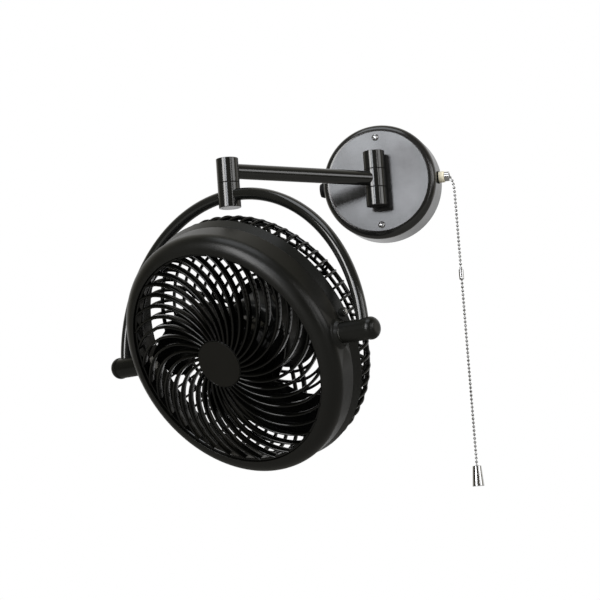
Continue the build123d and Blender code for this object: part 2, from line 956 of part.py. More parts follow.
plate_back = cage_w(plate_r)
plate_front = plate_back + plate_t
back_rings = [back_ring_first + back_ring_pitch * ring for ring in range(back_ring_count)]
with BuildSketch() as side_bar:
    with Locations((back_rings[bar_start_ring], 0)):
        Rectangle(cage_side_r, bar_width_across, align=(Align.MIN, Align.CENTER))
with BuildSketch() as back_spoke:
    with Locations((cage_start_r, 0)):
        Rectangle(back_rings[-1] - cage_start_r, spoke_t, align=(Align.MIN, Align.CENTER))
with BuildSketch() as back_brace:
    with BuildLine():
        ThreePointArc(polar(*brace_start), polar(*brace_middle), polar(*brace_end))
    trace(line_width=brace_t)

with BuildPart() as rear_cage:
    with BuildSketch(head_plane.offset(plate_back)):
        with PolarLocations(0, bar_count, start_angle=bar_first):
            add(side_bar.sketch)
        with PolarLocations(0, spoke_count, start_angle=spoke_first):
            add(back_spoke.sketch)
            add(back_brace.sketch)
        with PolarLocations(0, spoke_count, start_angle=spoke_first + 180 / spoke_count):
            add(back_spoke.sketch)
    extrude(amount=nest_back - plate_back + nest_wall)
    with BuildSketch(head_section):
        with BuildLine():
            Polyline(
                (cage_side_r, cage_corner_w),
                (cage_side_r, cage_step_w),
                (nest_r, nest_back),
                (nest_inner_r, nest_back),
                (cage_side_r - cage_depth, cage_step_w),
                (cage_side_r - cage_depth, cage_corner_w),
            )
            CenterArc((corner_centre_r, cage_corner_w), cage_corner_r, 0, cage_back_slope - 90)
            CenterArc((corner_centre_r, cage_corner_w), inner_corner_r, 0, cage_back_slope - 90)
            Polyline(
                (knee_r, knee_w),
                (cage_start_r, cage_w(cage_start_r)),
                (cage_start_r, cage_inner_w(cage_start_r)),
                (inner_knee_r, inner_knee_w),
            )
        make_face()
    revolve(axis=head_axis, mode=Mode.INTERSECT)
    for ring_at in back_rings:
        ring_back = cage_w(ring_at) + ring_sink
        turn(
            sleeve_outline(
                ring_at - back_ring_t / 2,
                ring_at + back_ring_t / 2,
                ring_back,
                ring_back + back_ring_depth,
            ),
            head_centre,
            head_dir,
            pivot_dir,
        )
    side_reach = sqrt(cage_corner_r**2 - (side_ring_w - cage_corner_w) ** 2)
    side_ring_r = corner_centre_r + side_reach - ring_sink
    turn(
        sleeve_outline(
            side_ring_r - back_ring_depth,
            side_ring_r,
            side_ring_w - side_ring_t / 2,
            side_ring_w + side_ring_t / 2,
        ),
        head_centre,
        head_dir,
        pivot_dir,
    )
    turn(
        sleeve_outline(nest_inner_r, nest_r, nest_back, nest_front),
        head_centre,
        head_dir,
        pivot_dir,
    )
    turn(sleeve_outline(0, plate_r, plate_back, plate_front), head_centre, head_dir, pivot_dir)
    for side in sides.values():
        turn(
            sleeve_outline(0, pin_r + weld_gap, bolt_tip, boss_end),
            head_centre,
            pivot_dir * side,
            up,
            mode=Mode.SUBTRACT,
        )
    for lug_dir in lug_dirs:
        turn(
            sleeve_outline(0, lug_screw_r + weld_gap, bolt_tip, boss_end),
            lug_plane.origin,
            lug_dir,
            head_dir,
            mode=Mode.SUBTRACT,
        )
    with BuildSketch(head_plane.offset(plate_back)):
        with PolarLocations(motor_screw_circle, motor_screw_count, start_angle=motor_screw_first):
            Circle(motor_screw_r + weld_gap)
    extrude(amount=plate_t, mode=Mode.SUBTRACT)
pieces["rear_cage"] = rear_cage

# ---------------------------------------------------------------- motor
motor_inner_r = motor_r - motor_wall
seat_r = bearing_r + weld_gap
rear_bearing_start = plate_front + motor_wall
front_bearing_end = motor_front - motor_wall
with BuildPart() as motor_rear_shell:
    turn(
        [
            (0, plate_front),
            (motor_r, plate_front),
            (motor_r, motor_joint),
            (motor_inner_r, motor_joint),
            (motor_inner_r, rear_bearing_start),
            (seat_r + bearing_seat_wall, rear_bearing_start),
            (seat_r + bearing_seat_wall, rear_bearing_start + bearing_width),
            (seat_r, rear_bearing_start + bearing_width),
            (seat_r, rear_bearing_start),
            (0, rear_bearing_start),
        ],
        head_centre,
        head_dir,
        pivot_dir,
    )
    with BuildSketch(head_plane.offset(plate_front)):
        with PolarLocations(motor_screw_circle, motor_screw_count, start_angle=motor_screw_first):
            Circle(motor_screw_r + weld_gap)
    extrude(amount=motor_wall, mode=Mode.SUBTRACT)
pieces["motor_rear_shell"] = motor_rear_shell

with BuildPart() as motor_front_shell:
    turn(
        sleeve_outline(0, motor_r, motor_joint, motor_front), head_centre, head_dir, pivot_dir
    )
    fillet(motor_front_shell.faces().sort_by(head_axis)[-1].edges(), motor_edge_r)
    offset(
        amount=-motor_wall, openings=motor_front_shell.faces().sort_by(head_axis)[0]
    )
    turn(
        sleeve_outline(
            seat_r, seat_r + bearing_seat_wall, front_bearing_end - bearing_width, front_bearing_end
        ),
        head_centre,
        head_dir,
        pivot_dir,
    )
    turn(
        sleeve_outline(0, shaft_r + hole_slack, front_bearing_end, motor_front),
        head_centre,
        head_dir,
        pivot_dir,
        mode=Mode.SUBTRACT,
    )
pieces["motor_front_shell"] = motor_front_shell

with BuildPart() as bearings:
    for start in (rear_bearing_start, front_bearing_end - bearing_width):
        turn(
            sleeve_outline(shaft_r + run_gap, bearing_r, start, start + bearing_width),
            head_centre,
            head_dir,
            pivot_dir,
        )
pieces["bearings"] = bearings

with BuildPart() as stator:
    turn(
        sleeve_outline(stator_bore_r, motor_inner_r - weld_gap, stator_back, stator_front),
        head_centre,
        head_dir,
        pivot_dir,
    )
pieces["stator"] = stator

with BuildPart() as windings:
    for start in (stator_back - winding_t, stator_front):
        turn(
            sleeve_outline(winding_inner_r, winding_r, start, start + winding_t),
            head_centre,
            head_dir,
            pivot_dir,
        )
pieces["windings"] = windings

with BuildPart() as motor_screws:
    screw_end = plate_front + motor_screw_reach
    with BuildSketch(head_plane.offset(plate_back - motor_screw_head_t)):
        with PolarLocations(motor_screw_circle, motor_screw_count, start_angle=motor_screw_first):
            Circle(motor_screw_head_r)
    extrude(amount=motor_screw_head_t)
    fillet(motor_screws.faces().group_by(head_axis)[0].edges(), canopy_screw_round)
    with BuildSketch(head_plane.offset(plate_back)):
        with PolarLocations(motor_screw_circle, motor_screw_count, start_angle=motor_screw_first):
            Circle(motor_screw_r)
    extrude(amount=screw_end - plate_back)
pieces["motor_screws"] = motor_screws

# ---------------------------------------------------------------- shaft, blades and spinner
spinner_front = blade_hub_front + spinner_length
shaft_front = spinner_front - spinner_cap - face_gap
with BuildPart() as motor_shaft:
    turn(
        sleeve_outline(0, shaft_r, rear_bearing_start + face_gap, shaft_front),
        head_centre,
        head_dir,
        pivot_dir,
    )
pieces["motor_shaft"] = motor_shaft

with BuildPart() as rotor_core:
    turn(
        sleeve_outline(shaft_r + weld_gap, stator_bore_r - air_gap, stator_back, stator_front),
        head_centre,
        head_dir,
        pivot_dir,
    )
pieces["rotor_core"] = rotor_core



def spot(radius, angle, height):
    """The point at a radius, an angle in degrees and a height."""
    return Vector(*polar(radius, angle), height)


blade_root_r = blade_hub_r - blade_hub_wall
with BuildPart() as blade:
    for radius, start_angle, end_angle, start_w, end_w in blade_sections:
        start = spot(radius, start_angle, start_w)
        end = spot(radius, end_angle, end_w)
        half_chord = (end - start).length / 2 + blade_margin
        spanwise = Vector(end.Y - start.Y, start.X - end.X)
        sag = blade_camber * half_chord * 2
        with BuildSketch(Plane(origin=(start + end) / 2, x_dir=end - start, z_dir=spanwise)):
            with BuildLine():
                back = [(-half_chord, 0), (0, -sag), (half_chord, 0)]
                front = [(x, y + blade_t) for x, y in back]
                ThreePointArc(*back)
                Line(back[2], front[2])
                ThreePointArc(*reversed(front))
                Line(front[0], back[0])
            make_face()
    loft()
    with BuildSketch(Plane.XY.offset(-blade_tip_r)) as blade_plan:
        with BuildLine():
            start_edge = Spline(*[polar(section[0], section[1]) for section in blade_sections])
            end_edge = Spline(*[polar(section[0], section[2]) for section in blade_sections])
            Line(start_edge @ 0, end_edge @ 0)
            Line(start_edge @ 1, end_edge @ 1)
        make_face()
        Circle(blade_tip_r, mode=Mode.INTERSECT)
        tip_corners = blade_plan.vertices().sort_by_distance((0, 0, 0))[-2:]
        fillet(tip_corners, blade_tip_round)
        Circle(blade_root_r + weld_gap, mode=Mode.SUBTRACT)
    extrude(amount=2 * blade_tip_r, mode=Mode.INTERSECT)

with BuildPart(head_plane) as blade_rotor:
    turn(
        [
            (shaft_r + weld_gap, blade_boss_back),
            (blade_boss_r, blade_boss_back),
            (blade_boss_r, blade_hub_front - blade_hub_wall),
            (blade_root_r, blade_hub_front - blade_hub_wall),
            (blade_root_r, blade_hub_back),
            (blade_hub_r, blade_hub_back),
            (blade_hub_r, blade_hub_front),
            (shaft_r + weld_gap, blade_hub_front),
        ],
        head_centre,
        head_dir,
        pivot_dir,
    )
    with PolarLocations(0, blade_count):
        add(blade.part)
pieces["blade_rotor"] = blade_rotor

with BuildPart() as spinner:
    turn(
        sleeve_outline(0, spinner_r, blade_hub_front, spinner_front),
        head_centre,
        head_dir,
        pivot_dir,
    )
    fillet(spinner.faces().sort_by(head_axis)[-1].edges(), spinner_round)
    turn(
        sleeve_outline(0, shaft_r + weld_gap, blade_hub_front, spinner_front - spinner_cap),
        head_centre,
        head_dir,
        pivot_dir,
        mode=Mode.SUBTRACT,
    )
pieces["spinner"] = spinner

# ---------------------------------------------------------------- pull chain
chain_route = [Vector(collar_end + bell_throat, side_y, 0)]
for knee_x, knee_z in chain_knees:
    chain_route.append(Vector(knee_x, side_y, knee_z))
chain_route.append(Vector(chain_drop_x, side_y, chain_lead_end))
chain_runs = [end - start for start, end in zip(chain_route, chain_route[1:])]
chain_bends = []
for before, after in zip(chain_runs, chain_runs[1:]):
    half_turn = radians(before.get_angle(after) / 2)
    chain_bends.append(chain_bend_share * min(before.length, after.length) / tan(half_turn))
print("chain bend radii", [round(bend, 2) for bend in chain_bends])

with BuildPart() as chain_lead:
    with BuildLine():
        FilletPolyline(*chain_route, radius=chain_bends)
    with BuildSketch(Plane(origin=chain_route[0], x_dir=room, z_dir=chain_runs[0])):
        Circle(chain_r)
    sweep()
pieces["chain_lead"] = chain_lead

drop_point = Vector(chain_drop_x, side_y, 0)
chain_runs_down = {
    "chain_upper": (chain_lead_end - link_gap, connector_top + link_gap),
    "chain_lower": (connector_bottom - link_gap, fob_top + link_gap),
}
for name, (top, bottom) in chain_runs_down.items():
    with BuildPart() as chain_run:
        turn(sleeve_outline(0, chain_r, bottom, top), drop_point, up, right)
    pieces[name] = chain_run

with BuildPart() as chain_connector:
    turn(
        sleeve_outline(0, connector_r, connector_bottom, connector_top), drop_point, up, right
    )
    fillet(chain_connector.edges().filter_by(GeomType.CIRCLE), connector_edge)
pieces["chain_connector"] = chain_connector

with BuildPart() as chain_fob:
    turn(
        [(0, fob_bottom), (fob_bottom_r, fob_bottom), (fob_top_r, fob_top), (0, fob_top)],
        drop_point,
        up,
        right,
    )
    chamfer(chain_fob.edges().filter_by(GeomType.CIRCLE), cap_edge)
pieces["chain_fob"] = chain_fob

# ---------------------------------------------------------------- files
for name, piece in pieces.items():
    piece.part.label = name
    export_step(piece.part, f"parts/{name}.step")
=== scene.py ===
import bpy, bmesh, json, math
from mathutils import Matrix, Vector


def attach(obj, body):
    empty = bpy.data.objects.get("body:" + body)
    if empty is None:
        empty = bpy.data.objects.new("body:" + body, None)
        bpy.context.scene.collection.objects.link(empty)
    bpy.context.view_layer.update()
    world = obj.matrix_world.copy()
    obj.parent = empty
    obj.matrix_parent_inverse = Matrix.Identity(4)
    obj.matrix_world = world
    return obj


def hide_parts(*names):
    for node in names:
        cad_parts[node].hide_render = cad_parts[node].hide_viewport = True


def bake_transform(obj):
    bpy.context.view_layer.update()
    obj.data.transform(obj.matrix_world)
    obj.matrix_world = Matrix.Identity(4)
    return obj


# Wall mounted fan: studio scene in metres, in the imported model's frame. The pieces' own sizes
# are written in millimetres, and MM brings them to metres.
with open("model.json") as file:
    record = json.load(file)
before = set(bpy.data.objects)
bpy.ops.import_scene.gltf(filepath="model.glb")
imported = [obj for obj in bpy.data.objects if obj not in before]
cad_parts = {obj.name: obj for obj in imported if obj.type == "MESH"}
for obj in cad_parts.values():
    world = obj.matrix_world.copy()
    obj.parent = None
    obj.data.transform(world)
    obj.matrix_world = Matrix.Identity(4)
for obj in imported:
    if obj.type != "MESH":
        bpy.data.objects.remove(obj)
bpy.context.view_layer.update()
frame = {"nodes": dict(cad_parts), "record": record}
nodes = frame["nodes"]
scene = bpy.context.scene
MM = 0.001
UP = Vector((0, 0, 1))

# ------------------------------------------------------------------ the head's place at rest
FORK, TILT = math.radians(24.9), math.radians(26.5)
HEAD = Vector((-128.216, -192.744, -187.8)) * MM
PIVOT = Vector((math.cos(FORK), -math.sin(FORK), 0))
FORK_FRONT = Vector((-math.sin(FORK), -math.cos(FORK), 0))
HEAD_DIR = FORK_FRONT * math.cos(TILT) - UP * math.sin(TILT)
HEAD_UP = HEAD_DIR.cross(PIVOT)
HEAD_M = Matrix.Translation(HEAD) @ Matrix((PIVOT, HEAD_UP, HEAD_DIR)).transposed().to_4x4()


def link_object(name, data):
    """A new object in the scene."""
    obj = bpy.data.objects.new(name, data)
    scene.collection.objects.link(obj)
    return obj


# ------------------------------------------------------------------ camera
CAM_PLACE = Vector((0.45832, -2.29696, -0.42773))
CAM_YAW, CAM_PITCH, CAM_ROLL = math.radians(13.85), math.radians(7.48), math.radians(-4.06)
CAM_LENS, CAM_SENSOR = 127.45, 36.0
CAM_NEAR, CAM_FAR = 0.01, 100


def add_camera():
    """The photo's camera: placed, aimed by yaw and pitch, then rolled."""
    forward = Vector((-math.sin(CAM_YAW) * math.cos(CAM_PITCH),
                      math.cos(CAM_YAW) * math.cos(CAM_PITCH), math.sin(CAM_PITCH)))
    level = forward.cross(UP).normalized()
    above = level.cross(forward)
    across = level * math.cos(CAM_ROLL) + above * math.sin(CAM_ROLL)
    upward = above * math.cos(CAM_ROLL) - level * math.sin(CAM_ROLL)
    data = bpy.data.cameras.new("camera")
    data.lens, data.sensor_width, data.sensor_fit = CAM_LENS, CAM_SENSOR, "HORIZONTAL"
    data.clip_start, data.clip_end = CAM_NEAR, CAM_FAR
    cam = link_object("camera", data)
    cam.matrix_world = Matrix.Translation(CAM_PLACE) @ Matrix(
        (across, upward, -forward)).transposed().to_4x4()
    scene.camera = cam


add_camera()

# ------------------------------------------------------------------ mesh helpers
SHARP_EDGE = 35
WELD_DISTANCE = 1e-7


def angles(count):
    """Angles of a full turn in equal steps."""
    return [2 * math.pi * i / count for i in range(count)]


def shade(mesh, degrees):
    """Smooth faces, with edges sharper than this left sharp."""
    mesh.polygons.foreach_set("use_smooth", [True] * len(mesh.polygons))
    bm = bmesh.new()
    bm.from_mesh(mesh)
    limit = math.radians(degrees)
    for edge in bm.edges:
        if len(edge.link_faces) == 2:
            edge.smooth = edge.calc_face_angle(0) < limit
    bm.to_mesh(mesh)
    bm.free()


def weld(mesh):
    """Join points that coincide, and turn all faces outwards."""
    bm = bmesh.new()
    bm.from_mesh(mesh)
    bmesh.ops.remove_doubles(bm, verts=bm.verts, dist=WELD_DISTANCE)
    bmesh.ops.recalc_face_normals(bm, faces=bm.faces)
    bm.to_mesh(mesh)
    bm.free()


def build_mesh(name, verts, faces, place=Matrix()):
    """A checked mesh from faces and points in metres, moved to its place."""
    mesh = bpy.data.meshes.new(name)
    mesh.from_pydata(verts, [], faces)
    mesh.transform(place)
    mesh.validate()
    return mesh


def head_object(name, verts, faces):
    """A piece drawn around the head's axis, moved to the head and riding on it."""
    mesh = build_mesh(name, verts, faces, HEAD_M)
    shade(mesh, SHARP_EDGE)
    obj = link_object(name, mesh)
    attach(obj, "head")
    return obj


def loop_strip(rings, closed_path, verts, faces):
    """Skin a list of closed sections into a bar, with end caps where the path is open."""
    base, n = len(verts), len(rings[0])
    for ring in rings:
        verts.extend(ring)
    count = len(rings)
    for i in range(count if closed_path else count - 1):
        a, b = base + i * n, base + ((i + 1) % count) * n
        for j in range(n):
            k = (j + 1) % n
            faces.append((a + j, a + k, b + k, b + j))
    if not closed_path:
        faces.append(tuple(base + j for j in reversed(range(n))))
        faces.append(tuple(base + (count - 1) * n + j for j in range(n)))


def lathe(outline, verts, faces, segments=144):
    """Turn a closed outline of (radius, height) points around the local axis."""
    rings = [[(r * math.cos(a) * MM, r * math.sin(a) * MM, w * MM) for r, w in outline]
             for a in angles(segments)]
    loop_strip(rings, True, verts, faces)


def moved(section, r, w):
    """A section of (radius, height) points, moved out and up."""
    return [(r + out, w + up) for out, up in section]


# ------------------------------------------------------------------ pull chain
CHAIN_BEAD_R, CHAIN_PITCH, CHAIN_WIRE_R = 1.6 * MM, 4.25 * MM, 0.45 * MM
FIRST_BEAD = 0.3 * CHAIN_PITCH
BEAD_SUBDIVISIONS, BEAD_SHARP_EDGE = 3, 60
WIRE_STEP, WIRE_SIDES = 2.0 * MM, 8
CHAIN_ROUTE = [(71.42, -20, 0), (76.4, -20, 0), (78.9, -20, -5.6), (80.2, -20, -13),
               (80.3, -20, -22), (80.3, -20, -104.2), (80.3, -20, -115.7), (80.3, -20, -319.5)]
ROUTE_ORDER, ROUTE_RESOLUTION = 3, 24


def chain_line():
    """Points along the smooth line that the chain follows."""
    data = bpy.data.curves.new("chain_route", "CURVE")
    data.dimensions = "3D"
    spline = data.splines.new("NURBS")
    spline.points.add(len(CHAIN_ROUTE) - 1)
    for point, place in zip(spline.points, CHAIN_ROUTE):
        point.co = (place[0] * MM, place[1] * MM, place[2] * MM, 1)
    spline.order_u = ROUTE_ORDER
    spline.use_endpoint_u = True
    spline.resolution_u = ROUTE_RESOLUTION
    obj = link_object("chain_route", data)
    bpy.context.view_layer.update()
    mesh = bpy.data.meshes.new_from_object(obj)
    points = [v.co.copy() for v in mesh.vertices]
    bpy.data.meshes.remove(mesh)
    bpy.data.objects.remove(obj)
    return points


def along(points, distance):
    """Place and direction at a distance along a line of points."""
    for a, b in zip(points, points[1:]):
        run = (b - a).length
        if distance <= run or b is points[-1]:
            return a + (b - a) * (distance / run if run else 0), (b - a).normalized()
        distance -= run


def chain_wire(points, length):
    """Sections of the thin wire that holds the beads."""
    side = Vector((0, -1, 0))
    rings = []
    for i in range(int(length / WIRE_STEP) + 1):
        place, direction = along(points, i * WIRE_STEP)
        other = direction.cross(side).normalized()
        rings.append([place + (side * math.cos(a) + other * math.sin(a)) * CHAIN_WIRE_R
                      for a in angles(WIRE_SIDES)])
    return rings


def make_chain():
    """Beads on a wire from the bell to the fob, in place of the CAD's plain rods."""
    points = chain_line()
    length = sum((b - a).length for a, b in zip(points, points[1:]))
    bm = bmesh.new()
    at = FIRST_BEAD
    while at < length + CHAIN_BEAD_R:
        place, _ = along(points, min(at, length))
        ball = bmesh.ops.create_icosphere(bm, subdivisions=BEAD_SUBDIVISIONS,
                                          radius=CHAIN_BEAD_R)
        bmesh.ops.translate(bm, verts=ball["verts"], vec=place)
        at += CHAIN_PITCH
    verts, faces = [], []
    loop_strip(chain_wire(points, length), False, verts, faces)
    wire = [bm.verts.new(v) for v in verts]
    for face in faces:
        bm.faces.new([wire[k] for k in face])
    mesh = bpy.data.meshes.new("chain_beads")
    bm.to_mesh(mesh)
    bm.free()
    shade(mesh, BEAD_SHARP_EDGE)
    obj = link_object("chain_beads", mesh)
    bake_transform(obj)
    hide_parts("chain_lead", "chain_upper", "chain_lower")
    return obj


# ------------------------------------------------------------------ bars of guard and cage
# Around the head's axis: r is a radius from it, w a height along it, towards the front, and
# turns are in degrees.
class SpiralArc:
    """A plan-view arc that leaves radius r0 at a lean and reaches radius r1 after a sweep."""

    def __init__(self, r0, r1, sweep, lean):
        sweep, lean = math.radians(sweep), math.radians(lean)
        start = Vector((r0, 0))
        end = Vector((r1 * math.cos(sweep), r1 * math.sin(sweep)))
        left = Vector((-math.sin(lean), math.cos(lean)))
        chord = end - start
        self.radius = chord.length_squared / (2 * chord.dot(left))
        self.centre = start + left * self.radius

    def at(self, r):
        """Place and side direction where the arc crosses radius r."""
        c = self.centre.length
        cosine = (r * r + c * c - self.radius ** 2) / (2 * r * c)
        angle = math.atan2(self.centre.y, self.centre.x) - math.acos(max(-1, min(1, cosine)))
        place = Vector((r * math.cos(angle), r * math.sin(angle)))
        return place, (place - self.centre).normalized()


class RadialLine:
    """The straight plan-view line out from the axis."""

    def at(self, r):
        """Place and side direction where the line crosses radius r."""
        return Vector((r, 0)), Vector((0, 1))


def rounded_bar(nose, tail=0.12, flat_half=0.75, steps=4):
    """A bar's section: across from -1 to 1, depth from 0 (rounded nose) to 1."""
    points = []
    for i in range(steps + 1):
        a = math.pi / 2 * i / steps
        points.append((-math.cos(a) if i else -1.0, nose * (1 - math.sin(a))))
    points += [(-x, d) for x, d in reversed(points[:-1])]
    points += [(1.0, 1 - tail), (flat_half, 1.0), (-flat_half, 1.0), (-1.0, 1 - tail)]
    return points


def repeat_bar(rings, firsts, verts, faces):
    """The bar with these sections, turned to each of the angles."""
    for first in firsts:
        turn = Matrix.Rotation(math.radians(first), 4, "Z")
        loop_strip([[turn @ p for p in ring] for ring in rings], False, verts, faces)


def ribs_along(line, stations, thickness, nose, firsts, verts, faces):
    """Bars along a plan line. A station is (outer r, outer w, inner r, inner w)."""
    rings = []
    for outer_r, outer_w, inner_r, inner_w in stations:
        ring = []
        for across, deep in rounded_bar(nose):
            place, side = line.at(outer_r + (inner_r - outer_r) * deep)
            p = place + side * (across * thickness / 2)
            ring.append(Vector((p.x, p.y, outer_w + (inner_w - outer_w) * deep)) * MM)
        rings.append(ring)
    repeat_bar(rings, firsts, verts, faces)


# ------------------------------------------------------------------ spiral guard
DISH_APEX, DISH_R = 38.2, 525.0
GUARD_LINE = SpiralArc(25.6, 114.6, 53.0, 18.0)
GUARD_START_R, GUARD_END_R, GUARD_STEPS = 25.2, 115.4, 26
GUARD_THICKNESS, GUARD_NOSE, GUARD_DEPTH = 2.8, 0.26, 7.5
GUARD_RIBS = 36
GUARD_TURNS = [3.5 + 360 / GUARD_RIBS * i for i in range(GUARD_RIBS)]
RIM_INNER_R, RIM_OUTER_R, RIM_FOOT = 113.4, 116.3, 15.6
RIM_CHAMFER, RIM_UNDER_DISH = 0.5, 0.3
HUB_CUP = [(24.4, 29.6), (26.2, 29.6), (26.4, 29.8), (26.4, 37.1), (26.25, 37.45), (25.9, 37.6),
           (25.5, 37.5), (25.25, 37.2), (25.22, 36.7), (2.0, 36.7), (2.0, 34.7), (24.4, 34.7)]


def dish_w(r):
    """Height of the dish that the guard's ribs lie on."""
    return DISH_APEX - DISH_R + math.sqrt(DISH_R ** 2 - r ** 2)


def make_guard():
    """The spiral ribs with their rim, and the cup that the hub disc sits in."""
    verts, faces = [], []
    stations = []
    for i in range(GUARD_STEPS + 1):
        r = GUARD_START_R + (GUARD_END_R - GUARD_START_R) * i / GUARD_STEPS
        stations.append((r, dish_w(r), r, dish_w(r) - GUARD_DEPTH))
    ribs_along(GUARD_LINE, stations, GUARD_THICKNESS, GUARD_NOSE, GUARD_TURNS, verts, faces)
    top = dish_w(RIM_OUTER_R) - RIM_UNDER_DISH
    lathe([(RIM_INNER_R, RIM_FOOT), (RIM_OUTER_R, RIM_FOOT), (RIM_OUTER_R, top - RIM_CHAMFER),
           (RIM_OUTER_R - RIM_CHAMFER, top), (RIM_INNER_R + RIM_CHAMFER, top),
           (RIM_INNER_R, top - RIM_CHAMFER)], verts, faces)
    lathe(HUB_CUP, verts, faces)
    obj = head_object("spiral_guard", verts, faces)
    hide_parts("front_grille")
    return obj


# ------------------------------------------------------------------ rear cage
SIDE_R, CAGE_DEPTH = 134.5, 5.0
CORNER_R, CORNER_W, CORNER_STEPS = 28.0, -31.0, 12
INNER_CORNER_R = CORNER_R - CAGE_DEPTH
CORNER_CENTRE = SIDE_R - CORNER_R
BACK_SLOPE = math.radians(13.2)

SIDE_FOOT_R, SIDE_FOOT_INNER_R = 109.0, 108.6
SIDE_TOP = [(SIDE_R, -26.0, SIDE_R - CAGE_DEPTH, -26.0),
            (SIDE_R, -21.5, SIDE_R - CAGE_DEPTH, -21.5), (130.1, -19.0, 127.3, -19.0)]
SIDE_THICKNESS, SIDE_NOSE, SIDE_RIBS = 2.4, 0.24, 60
SIDE_TURNS = [5.5 + 360 / SIDE_RIBS * i for i in range(SIDE_RIBS)]

BRACE_TURNS = [27.5, 147.5, 267.5]
BRACE_POINTS = [(51.0, 13.5), (78.0, 8.7), (109.0, -2.0)]
BRACE_THICKNESS, BRACE_NOSE, BRACE_STEPS = 4.5, 0.34, 16
SPOKE_TURNS = BRACE_TURNS + [turn + 60 for turn in BRACE_TURNS]
SPOKE_START_R, SPOKE_LENGTH, SPOKE_STEPS = 50.6, 68.6, 14
SPOKE_THICKNESS, SPOKE_NOSE = 3.0, 0.28

# Outlines for the lathe. The rings are drawn about a point that is set in from the shell.
BACK_RINGS = [56.75 + 10.5 * i for i in range(7)]
RING_INSET = 1.3
BACK_RING = [(-1.5, 1.0), (-1.1, 0.3), (-0.4, 0), (0.4, 0), (1.1, 0.3), (1.5, 1.0), (1.5, 3),
             (-1.5, 3)]
SIDE_RING_W = -43.0
SIDE_RING = [(-3, -2.0), (-0.9, -2.0), (-0.2, -1.4), (0, -0.6), (0, 0.6), (-0.2, 1.4),
             (-0.9, 2.0), (-3, 2.0)]
CUFF = [(127.1, -19.4), (130.1, -19.4), (130.1, 6.0), (127.1, 6.0)]
PLATE_R = 52.0
PLATE = [(1.5, 0), (51.2, 0), (51.8, 0.3), (PLATE_R, 0.8), (PLATE_R, 3), (1.5, 3)]
PLATE_MIDDLE = [(0.0001, 0), (1.6, 0), (1.6, 3), (0.0001, 3)]
SIDE_SEGMENTS, MIDDLE_SEGMENTS = 192, 24


def shell_w(r, corner_r):
    """Height of the cage's back and corner at radius r, for a corner radius."""
    knee_r = CORNER_CENTRE + corner_r * math.sin(BACK_SLOPE)
    if r > knee_r:
        return CORNER_W - math.sqrt(corner_r ** 2 - (r - CORNER_CENTRE) ** 2)
    knee_w = CORNER_W - corner_r * math.cos(BACK_SLOPE)
    return knee_w - (knee_r - r) * math.tan(BACK_SLOPE)


def side_stations():
    """A side bar from its ring on the back, round the corner and up the side."""
    out = [(SIDE_FOOT_R, shell_w(SIDE_FOOT_R, CORNER_R),
            SIDE_FOOT_INNER_R, shell_w(SIDE_FOOT_INNER_R, INNER_CORNER_R))]
    for i in range(CORNER_STEPS + 1):
        a = (BACK_SLOPE - math.pi / 2) * (1 - i / CORNER_STEPS)
        out.append((CORNER_CENTRE + CORNER_R * math.cos(a), CORNER_W + CORNER_R * math.sin(a),
                    CORNER_CENTRE + INNER_CORNER_R * math.cos(a),
                    CORNER_W + INNER_CORNER_R * math.sin(a)))
    return out + SIDE_TOP


def back_bars(places, thickness, nose, firsts, verts, faces):
    """Bars on the cage's back along flat places, turned to each of the angles."""
    rings = []
    for i, place in enumerate(places):
        ahead = places[min(i + 1, len(places) - 1)] - places[max(i - 1, 0)]
        side = Vector((-ahead.y, ahead.x)).normalized()
        outer_w = shell_w(place.length, CORNER_R)
        inner_w = shell_w(place.length, INNER_CORNER_R)
        ring = []
        for across, deep in rounded_bar(nose):
            p = place + side * (across * thickness / 2)
            ring.append(Vector((p.x, p.y, outer_w + (inner_w - outer_w) * deep)) * MM)
        rings.append(ring)
    repeat_bar(rings, firsts, verts, faces)


def flat(r, angle):
    """A flat place at a radius and an angle in degrees."""
    return Vector((r * math.cos(math.radians(angle)), r * math.sin(math.radians(angle))))


def arc_through(a, b, c):
    """Points on the flat arc from a through b to c."""
    ab, ac = b - a, c - a
    turn = 2 * (ab.x * ac.y - ab.y * ac.x)
    centre = a + Vector((ac.y * ab.length_squared - ab.y * ac.length_squared,
                         ab.x * ac.length_squared - ac.x * ab.length_squared)) / turn
    start = a - centre
    sweep = start.angle_signed(c - centre)
    points = []
    for i in range(BRACE_STEPS + 1):
        t = -sweep * i / BRACE_STEPS
        points.append(centre + Vector((start.x * math.cos(t) - start.y * math.sin(t),
                                       start.x * math.sin(t) + start.y * math.cos(t))))
    return points


def make_cage():
    """The bent side bars, spokes and braces of the rear cage, with its rings and back plate."""
    verts, faces = [], []
    ribs_along(RadialLine(), side_stations(), SIDE_THICKNESS, SIDE_NOSE, SIDE_TURNS, verts, faces)
    spoke = [Vector((SPOKE_START_R + SPOKE_LENGTH * i / SPOKE_STEPS, 0))
             for i in range(SPOKE_STEPS + 1)]
    back_bars(spoke, SPOKE_THICKNESS, SPOKE_NOSE, SPOKE_TURNS, verts, faces)
    brace = arc_through(*(flat(r, angle) for r, angle in BRACE_POINTS))
    back_bars(brace, BRACE_THICKNESS, BRACE_NOSE, BRACE_TURNS, verts, faces)
    for ring_r in BACK_RINGS:
        lathe(moved(BACK_RING, ring_r, shell_w(ring_r, CORNER_R) + RING_INSET), verts, faces)
    side_r = CORNER_CENTRE + math.sqrt(CORNER_R ** 2 - (SIDE_RING_W - CORNER_W) ** 2) - RING_INSET
    lathe(moved(SIDE_RING, side_r, SIDE_RING_W), verts, faces, SIDE_SEGMENTS)
    lathe(CUFF, verts, faces, SIDE_SEGMENTS)
    back = shell_w(PLATE_R, CORNER_R)
    lathe(moved(PLATE, 0, back), verts, faces)
    lathe(moved(PLATE_MIDDLE, 0, back), verts, faces, MIDDLE_SEGMENTS)
    obj = head_object("cage_ribs", verts, faces)
    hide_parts("rear_cage")
    return obj


